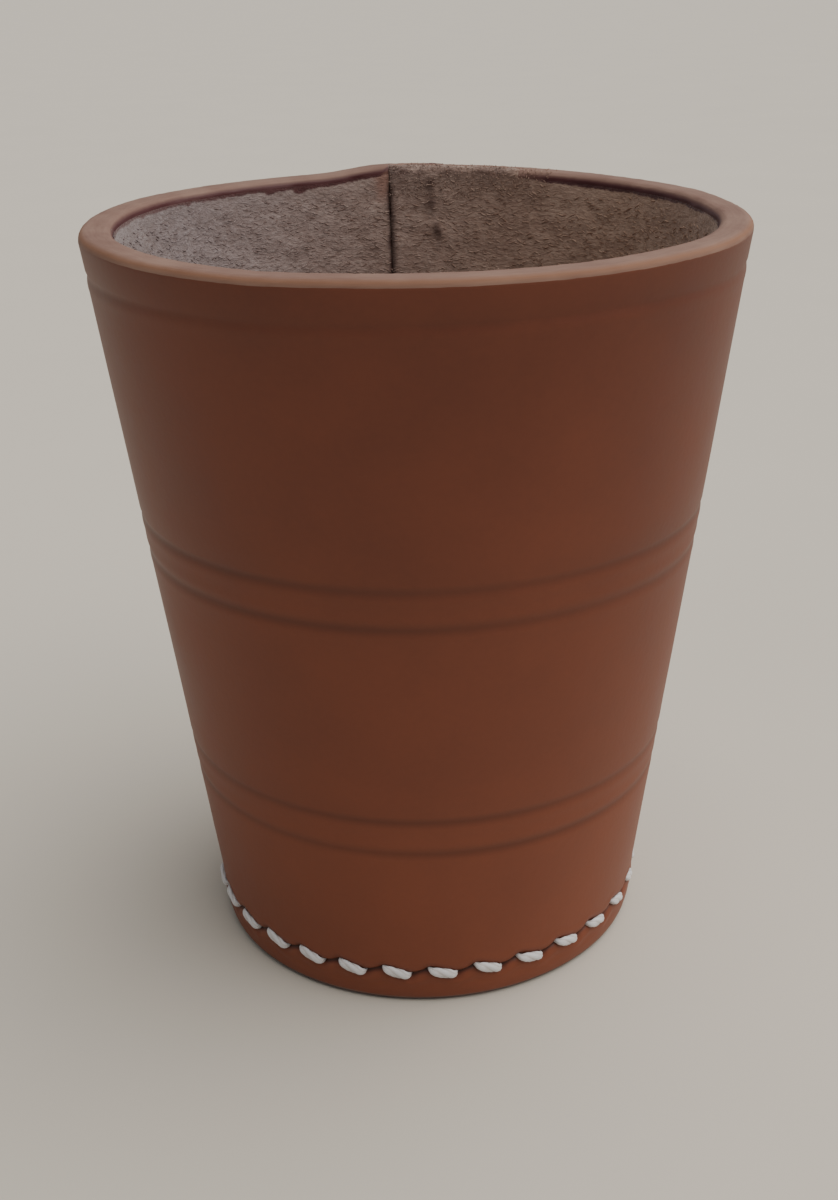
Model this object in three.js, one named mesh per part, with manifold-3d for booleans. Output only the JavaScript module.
// A leather dice cup: one thick leather sheet rolled into a tapered wall and cemented in a scarf
// seam, a moulded leather base dish with its flange turned down inside the foot, and one waxed
// thread that saddle-stitches the flange to the wall.
//
// Millimetres, +Z up. The origin is on the table, under the axis of the cup. Angles run
// anticlockwise from +X, and the front of the cup faces -Y.
import * as THREE from 'three';
import { mergeVertices } from 'three/addons/utils/BufferGeometryUtils.js';
import Module from 'manifold-3d';

// ---- Driving dimensions ----------------------------------------------------------------------

const CUP_HEIGHT = 100;
const MOUTH_RADIUS = 42.2; // outside of the wall at the rim
const FOOT_RADIUS = 30.2; // outside of the wall at the table
const WALL_THICKNESS = 4.3; // measured level, from the grain side to the flesh side

const FIT_GAP = 0.3; // room between pieces that touch on the real cup

const RIM_OUTER_ROUND = 1.2;
const RIM_INNER_ROUND = 1.1;
const FOOT_OUTER_ROUND = 0.9;
const FOOT_INNER_ROUND = 0.5;

const CREASE_WIDTH = 1.3;
const CREASE_DEPTH = 0.35;
const RIM_CREASE_BELOW = 4.9; // from the rim down to the single crease
const CREASE_PAIR_SPACING = 5;
const UPPER_PAIR_HEIGHT = 61.2; // middle of each pair of creases, above the table
const LOWER_PAIR_HEIGHT = 27.9;

const SEAM_ANGLE = THREE.MathUtils.degToRad(95.5); // the edge that shows inside the cup
const SCARF_LENGTH = 8.8; // how far the two skived ends lie over each other, at the rim
const SCARF_EDGE = 0.6; // thickness left at each end of the sheet
const CEMENT_LINE = 0.3;

const BASE_THICKNESS = 3.2;
const FLOOR_HEIGHT = 12; // inside floor of the cup, above the table
const BASE_RECESS = 0.4; // the flange's cut edge stays this far off the table
const BASE_OUTER_BEND = 4;
const BASE_INNER_BEND = 1.2;
const FLANGE_EDGE_ROUND = 0.4;

const THREAD_DIAMETER = 1.2;
const STITCH_COUNT = 31;
const STITCH_HEIGHT = 5.2; // middle of the row of holes
const PASS_ASIDE = 0.55; // each of the two passes in a hole stands this far to the side of it
const PASS_UP = 0.7; // and this far above or below its middle
const FIRST_HOLE_FROM_SEAM = THREE.MathUtils.degToRad(-2.1);
const CHANNEL_WIDTH = 4.2; // pressed channel that the outer stitches lie in
const CHANNEL_DEPTH = 0.4;
const TAIL_LENGTH = 2.4; // cut end of the thread, inside the recess under the base

// ---- How finely round shapes are cut ---------------------------------------------------------

const FACETS_PER_STITCH = 2;
const ROUND_STEPS = 2;
const SEAM_STEPS = 4;
const THREAD_SIDES = 6;
const SLOT_ARC_STEPS = 3;

// ---- Values worked out from them -------------------------------------------------------------

const QUARTER_TURN = Math.PI / 2;
const CUT_PAST = 2; // how far a cutter runs past the face that it opens
const POINTS_INTO_HOLE = 3; // of a stitch's route, left off where the thread is cut short
const SCARF_ANGLE = SCARF_LENGTH / MOUTH_RADIUS;
const HOLE_PITCH = (2 * Math.PI) / STITCH_COUNT;
const THREAD_RADIUS = THREAD_DIAMETER / 2;
const FLANGE_OUTER_INSET = WALL_THICKNESS + FIT_GAP;
const FLANGE_INNER_INSET = FLANGE_OUTER_INSET + BASE_THICKNESS;
const CREASE_HEIGHTS = [
  LOWER_PAIR_HEIGHT - CREASE_PAIR_SPACING / 2,
  LOWER_PAIR_HEIGHT + CREASE_PAIR_SPACING / 2,
  UPPER_PAIR_HEIGHT - CREASE_PAIR_SPACING / 2,
  UPPER_PAIR_HEIGHT + CREASE_PAIR_SPACING / 2,
  CUP_HEIGHT - RIM_CREASE_BELOW,
];

const wasm = await Module();
wasm.setup();

// ---- Helpers ---------------------------------------------------------------------------------

/** Outside radius of the leaning wall at a height. */
function wallRadius(z) {
  return FOOT_RADIUS + ((MOUTH_RADIUS - FOOT_RADIUS) * z) / CUP_HEIGHT;
}

/** A point given by its inset from the wall's outside face, as a lathe point. */
function leaning(inset, z) {
  return new THREE.Vector2(wallRadius(z) - inset, z);
}

/** A rounded corner as lathe points, turning from one angle to another about (inset, z). */
function corner(inset, z, radius, from, to) {
  return Array.from({ length: ROUND_STEPS + 1 }, (_, i) => {
    const turn = THREE.MathUtils.lerp(from, to, i / ROUND_STEPS);
    return leaning(inset - radius * Math.cos(turn), z + radius * Math.sin(turn));
  });
}

/** A geometry turned about the cup's axis, standing along +Z, with its facets in step with the holes. */
function turned(points) {
  const segments = STITCH_COUNT * FACETS_PER_STITCH;
  const start = holeAngle(0) + Math.PI / 2;
  return new THREE.LatheGeometry(points, segments, start).rotateX(Math.PI / 2);
}

/** A closed geometry as a solid that can be cut and joined. */
function solid(geometry) {
  const bare = geometry.clone();
  bare.deleteAttribute('normal');
  bare.deleteAttribute('uv');
  const merged = mergeVertices(bare, 1e-4);
  return new wasm.Manifold(
    new wasm.Mesh({
      numProp: 3,
      vertProperties: merged.attributes.position.array,
      triVerts: new Uint32Array(merged.index.array),
    }),
  );
}

/** A solid back as a three.js geometry. */
function geometryOf(manifold) {
  const { vertProperties, triVerts } = manifold.getMesh();
  const geometry = new THREE.BufferGeometry();
  geometry.setAttribute('position', new THREE.BufferAttribute(vertProperties, 3));
  geometry.setIndex(new THREE.BufferAttribute(triVerts, 1));
  geometry.computeVertexNormals();
  return geometry;
}

/** A closed prism between two level outlines that have the same number of points. */
function prismBetween(lower, lowerZ, upper, upperZ) {
  const count = lower.length;
  const positions = [
    ...lower.flatMap((p) => [p.x, p.y, lowerZ]),
    ...upper.flatMap((p) => [p.x, p.y, upperZ]),
  ];
  const indices = [];
  for (const [a, b, c] of THREE.ShapeUtils.triangulateShape(lower, [])) {
    indices.push(a, c, b);
    indices.push(a + count, b + count, c + count);
  }
  for (let i = 0; i < count; i += 1) {
    const next = (i + 1) % count;
    indices.push(i, next, next + count);
    indices.push(i, next + count, i + count);
  }
  const geometry = new THREE.BufferGeometry();
  geometry.setAttribute('position', new THREE.Float32BufferAttribute(positions, 3));
  geometry.setIndex(indices);
  return geometry;
}

// ---- Stitch holes ----------------------------------------------------------------------------

/** Angle of a stitch hole. Hole 0 is beside the seam, and the last number meets it again. */
function holeAngle(hole) {
  return SEAM_ANGLE + FIRST_HOLE_FROM_SEAM + hole * HOLE_PITCH;
}

/** A place by a stitch hole: aside is to the right as seen from outside, out is a radius. */
function atHole(hole, aside, up, out) {
  const angle = holeAngle(hole);
  return new THREE.Vector3(
    out * Math.cos(angle) - aside * Math.sin(angle),
    out * Math.sin(angle) + aside * Math.cos(angle),
    STITCH_HEIGHT + up,
  );
}

/** The slanting slot of an awl, big enough for two passes of thread side by side. */
function slotShape() {
  const start = Math.atan2(PASS_UP, PASS_ASIDE) - QUARTER_TURN;
  const [middle, end] = [start + 2 * QUARTER_TURN, start + 4 * QUARTER_TURN];
  const radius = THREAD_RADIUS + FIT_GAP;
  return new THREE.Shape()
    .absarc(PASS_ASIDE, PASS_UP, radius, start, middle, false)
    .absarc(-PASS_ASIDE, -PASS_UP, radius, middle, end, false);
}

/** One cutter for each stitch hole, from inside the recess to outside the wall. */
function holeCutters() {
  const inner = wallRadius(STITCH_HEIGHT) - FLANGE_INNER_INSET - CUT_PAST;
  const outer = wallRadius(STITCH_HEIGHT) + CUT_PAST;
  const slot = new THREE.ExtrudeGeometry(slotShape(), {
    depth: outer - inner,
    curveSegments: SLOT_ARC_STEPS,
    bevelEnabled: false,
  });
  return Array.from({ length: STITCH_COUNT }, (_, hole) => {
    const angle = holeAngle(hole);
    const out = new THREE.Vector3(Math.cos(angle), Math.sin(angle), 0);
    const aside = new THREE.Vector3(-Math.sin(angle), Math.cos(angle), 0);
    const place = new THREE.Matrix4()
      .makeBasis(aside, new THREE.Vector3(0, 0, 1), out)
      .setPosition(atHole(hole, 0, 0, inner));
    return solid(slot.clone().applyMatrix4(place));
  });
}

// ---- Wall sheet ------------------------------------------------------------------------------

/** The wall's closed outline: up the grain side, over the rim, and down the flesh side. */
function wallOutline() {
  const channel = [
    leaning(0, STITCH_HEIGHT - CHANNEL_WIDTH / 2),
    leaning(CHANNEL_DEPTH, STITCH_HEIGHT - CHANNEL_WIDTH / 2 + CHANNEL_DEPTH),
    leaning(CHANNEL_DEPTH, STITCH_HEIGHT + CHANNEL_WIDTH / 2 - CHANNEL_DEPTH),
    leaning(0, STITCH_HEIGHT + CHANNEL_WIDTH / 2),
  ];
  const creases = CREASE_HEIGHTS.flatMap((z) => [
    leaning(0, z - CREASE_WIDTH / 2),
    leaning(CREASE_DEPTH, z),
    leaning(0, z + CREASE_WIDTH / 2),
  ]);
  const outline = [
    ...corner(FOOT_OUTER_ROUND, FOOT_OUTER_ROUND, FOOT_OUTER_ROUND, -QUARTER_TURN, 0),
    ...channel,
    ...creases,
    ...corner(RIM_OUTER_ROUND, CUP_HEIGHT - RIM_OUTER_ROUND, RIM_OUTER_ROUND, 0, QUARTER_TURN),
    ...corner(
      WALL_THICKNESS - RIM_INNER_ROUND,
      CUP_HEIGHT - RIM_INNER_ROUND,
      RIM_INNER_ROUND,
      QUARTER_TURN,
      2 * QUARTER_TURN,
    ),
    ...corner(
      WALL_THICKNESS - FOOT_INNER_ROUND,
      FOOT_INNER_ROUND,
      FOOT_INNER_ROUND,
      2 * QUARTER_TURN,
      3 * QUARTER_TURN,
    ),
  ];
  return [...outline, outline[0].clone()];
}

/** A thin cut through the wall at every height, from one {angle, inset} to another. */
function seamCut(from, to) {
  const outlineAt = (z) => {
    const radius = wallRadius(z);
    const along = new THREE.Vector2(
      (to.angle - from.angle) * radius,
      from.inset - to.inset,
    ).normalize();
    const aside = new THREE.Vector2(-along.y, along.x).multiplyScalar(CEMENT_LINE / 2);
    const edge = (side) =>
      Array.from({ length: SEAM_STEPS + 1 }, (_, i) => {
        const share = i / SEAM_STEPS;
        const angle =
          THREE.MathUtils.lerp(from.angle, to.angle, share) + (side * aside.x) / radius;
        const out =
          radius - THREE.MathUtils.lerp(from.inset, to.inset, share) + side * aside.y;
        return new THREE.Vector2(out * Math.cos(angle), out * Math.sin(angle));
      });
    const outline = [...edge(1), ...edge(-1).reverse()];
    return THREE.ShapeUtils.isClockWise(outline) ? outline.reverse() : outline;
  };
  const [low, high] = [-CUT_PAST, CUP_HEIGHT + CUT_PAST];
  return solid(prismBetween(outlineAt(low), low, outlineAt(high), high));
}

/** The scarf seam: a short step in from each face, and the long skived slope between them. */
function scarfSeam() {
  const inside = SEAM_ANGLE;
  const outside = SEAM_ANGLE - SCARF_ANGLE;
  const [flesh, grain] = [WALL_THICKNESS - SCARF_EDGE, SCARF_EDGE];
  const slope = seamCut({ angle: inside, inset: flesh }, { angle: outside, inset: grain });
  const innerStep = seamCut(
    { angle: inside, inset: WALL_THICKNESS + CUT_PAST },
    { angle: inside, inset: flesh - CEMENT_LINE / 2 },
  );
  const outerStep = seamCut(
    { angle: outside, inset: grain + CEMENT_LINE / 2 },
    { angle: outside, inset: -CUT_PAST },
  );
  return slope.add(innerStep).add(outerStep);
}

function cupWall(holes) {
  let wall = solid(turned(wallOutline())).subtract(scarfSeam());
  for (const hole of holes) wall = wall.subtract(hole);
  return geometryOf(wall);
}

// ---- Base dish -------------------------------------------------------------------------------

/** The dish's outline from the middle of the floor, down the flange, and back underneath. */
function baseOutline() {
  const underside = FLOOR_HEIGHT - BASE_THICKNESS;
  const edge = FLANGE_EDGE_ROUND;
  return [
    new THREE.Vector2(0, underside),
    ...corner(
      FLANGE_INNER_INSET + BASE_INNER_BEND,
      underside - BASE_INNER_BEND,
      BASE_INNER_BEND,
      QUARTER_TURN,
      0,
    ),
    ...corner(FLANGE_INNER_INSET - edge, BASE_RECESS + edge, edge, 2 * QUARTER_TURN, 3 * QUARTER_TURN),
    ...corner(FLANGE_OUTER_INSET + edge, BASE_RECESS + edge, edge, -QUARTER_TURN, 0),
    ...corner(
      FLANGE_OUTER_INSET + BASE_OUTER_BEND,
      FLOOR_HEIGHT - BASE_OUTER_BEND,
      BASE_OUTER_BEND,
      0,
      QUARTER_TURN,
    ),
    new THREE.Vector2(0, FLOOR_HEIGHT),
  ];
}

function baseDish(holes) {
  let base = solid(turned(baseOutline()));
  for (const hole of holes) base = base.subtract(hole);
  return geometryOf(base);
}

// ---- Saddle-stitched thread ------------------------------------------------------------------

/**
 * One stitch from a hole to a hole beside it, as the middle of the thread: out of the first
 * hole round a quarter bend, along the leather, and round a quarter bend into the second.
 * Each end is {hole, aside, up}. The stitch lies at the radius lie, and its bends start at face.
 */
function stitch(from, to, face, lie) {
  const bend = Math.abs(lie - face);
  const midBend = Math.SQRT1_2; // sine and cosine of the middle of a quarter bend
  const at = (end, aside, out) => atHole(end.hole, end.aside + aside, end.up, out);
  return [
    at(from, 0, face),
    at(from, bend * (1 - midBend), face + (lie - face) * midBend),
    at(from, bend, lie),
    at(to, -bend, lie),
    at(to, -bend * (1 - midBend), face + (lie - face) * midBend),
    at(to, 0, face),
  ];
}

/** The passes through a hole, side by side on its slant. */
function upperPass(hole) {
  return { hole, aside: PASS_ASIDE, up: PASS_UP };
}

function lowerPass(hole) {
  return { hole, aside: -PASS_ASIDE, up: -PASS_UP };
}

/**
 * Half of the thread, as one needle leaves it: from the upper pass of hole 0 round the whole
 * row, changing sides at each hole, to a cut end in the recess beside hole 0.
 */
function needleRoute(startsOutside) {
  const grain = wallRadius(STITCH_HEIGHT) - CHANNEL_DEPTH;
  const flesh = wallRadius(STITCH_HEIGHT) - FLANGE_INNER_INSET;
  const points = [];
  let outside = startsOutside;
  for (let hole = 0; hole < STITCH_COUNT; hole += 1) {
    if (outside) {
      const lie = grain + FIT_GAP + THREAD_RADIUS;
      points.push(...stitch(upperPass(hole), lowerPass(hole + 1), grain, lie));
    } else {
      const lie = flesh - FIT_GAP - THREAD_RADIUS;
      const start = hole === 0 ? upperPass(hole) : lowerPass(hole);
      points.push(...stitch(start, upperPass(hole + 1), flesh, lie));
    }
    outside = !outside;
  }
  if (outside) return points.slice(0, -POINTS_INTO_HOLE);
  const { hole, aside, up } = lowerPass(STITCH_COUNT);
  return [...points, atHole(hole, aside, up, flesh), atHole(hole, aside, up, flesh - TAIL_LENGTH)];
}

/** A smooth curve with one section of the thread at each of its points. */
class ThreadRoute extends THREE.CatmullRomCurve3 {
  getUtoTmapping(u) {
    return u;
  }
}

function saddleThread() {
  const points = [...needleRoute(true).reverse(), ...needleRoute(false)];
  const section = new THREE.Shape(
    Array.from({ length: THREAD_SIDES }, (_, i) => {
      const turn = (i * 2 * Math.PI) / THREAD_SIDES;
      return new THREE.Vector2(Math.cos(turn), Math.sin(turn)).multiplyScalar(THREAD_RADIUS);
    }),
  );
  return new THREE.ExtrudeGeometry(section, {
    steps: points.length - 1,
    extrudePath: new ThreadRoute(points, false, 'centripetal'),
    bevelEnabled: false,
  });
}

// ---- Materials and assembly ------------------------------------------------------------------

const saddleLeather = new THREE.MeshStandardMaterial({
  color: 0x8a4a2c,
  roughness: 0.5,
  metalness: 0,
});
const baseLeather = new THREE.MeshStandardMaterial({
  color: 0x7d4a33,
  roughness: 0.75,
  metalness: 0,
});
const waxedThread = new THREE.MeshStandardMaterial({
  color: 0xe6e2d8,
  roughness: 0.6,
  metalness: 0,
});

function named(name, geometry, material) {
  const mesh = new THREE.Mesh(geometry, material);
  mesh.name = name;
  return mesh;
}

const holes = holeCutters();
const diceCup = new THREE.Group();
diceCup.add(
  named('cup_wall', cupWall(holes), saddleLeather),
  named('base_dish', baseDish(holes), baseLeather),
  named('saddle_thread', saddleThread(), waxedThread),
);

export default diceCup;
